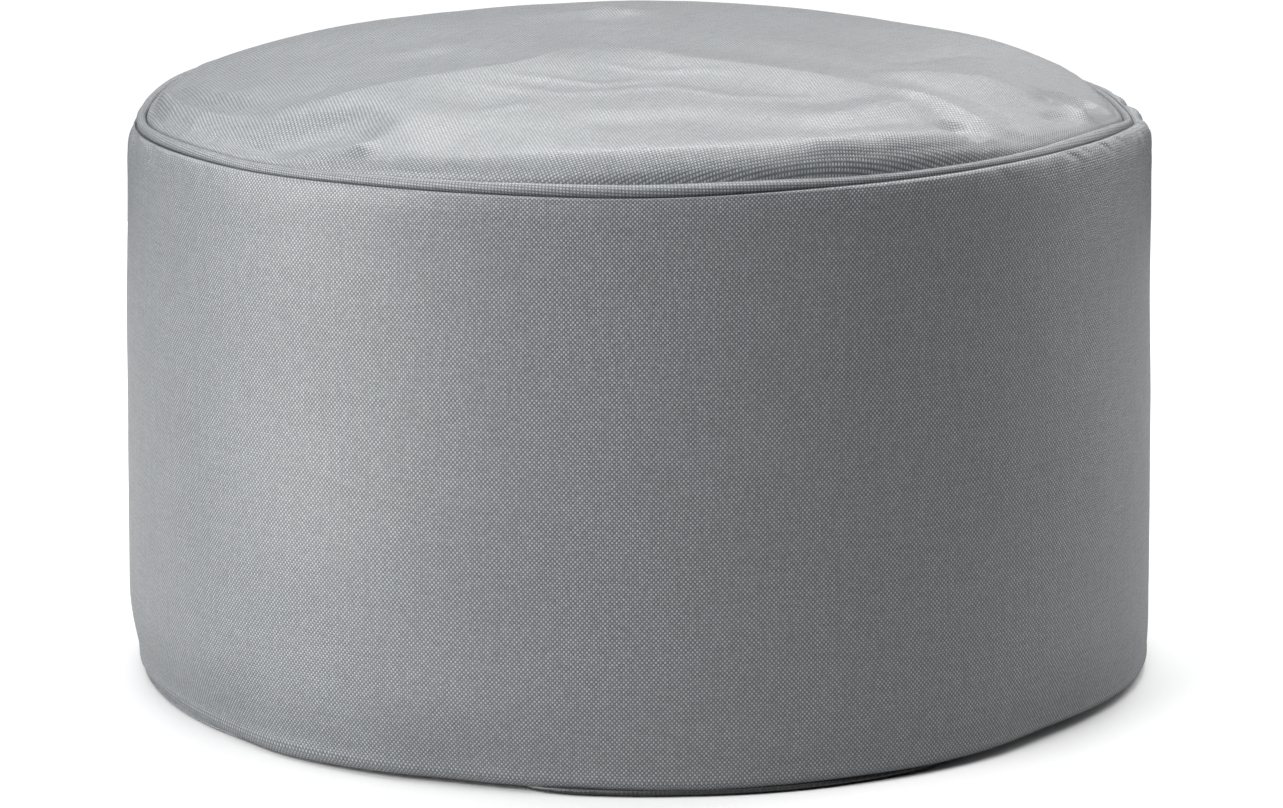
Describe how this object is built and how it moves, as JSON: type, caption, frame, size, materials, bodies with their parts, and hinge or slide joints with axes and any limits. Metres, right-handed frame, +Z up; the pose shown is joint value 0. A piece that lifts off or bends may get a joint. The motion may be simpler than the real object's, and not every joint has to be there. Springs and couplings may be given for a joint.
{
  "type": "round bean bag pouf",
  "caption": "Low round bean bag pouf: a filled drum with a crowned, creased top panel, a puckered welt in the top seam, a plain side wall and a dark base panel.",
  "frame": {"origin": "on the floor under the middle of the bag", "axes": "+Z up from the floor, -Y towards the side that the picture shows, +X to its right"},
  "size_m": [0.4548, 0.4554, 0.2811],
  "materials": {
    "cloth": "matt grey outdoor cloth in a fine plain weave",
    "welt_cloth": "the same grey cloth, cut on the bias over a cord",
    "base_cloth": "matt dark base cloth"
  },
  "bodies": {
    "root": {"top_panel": "cloth", "side_panel": "cloth", "top_welt": "welt_cloth", "base_panel": "base_cloth"}
  },
  "joints": []
}
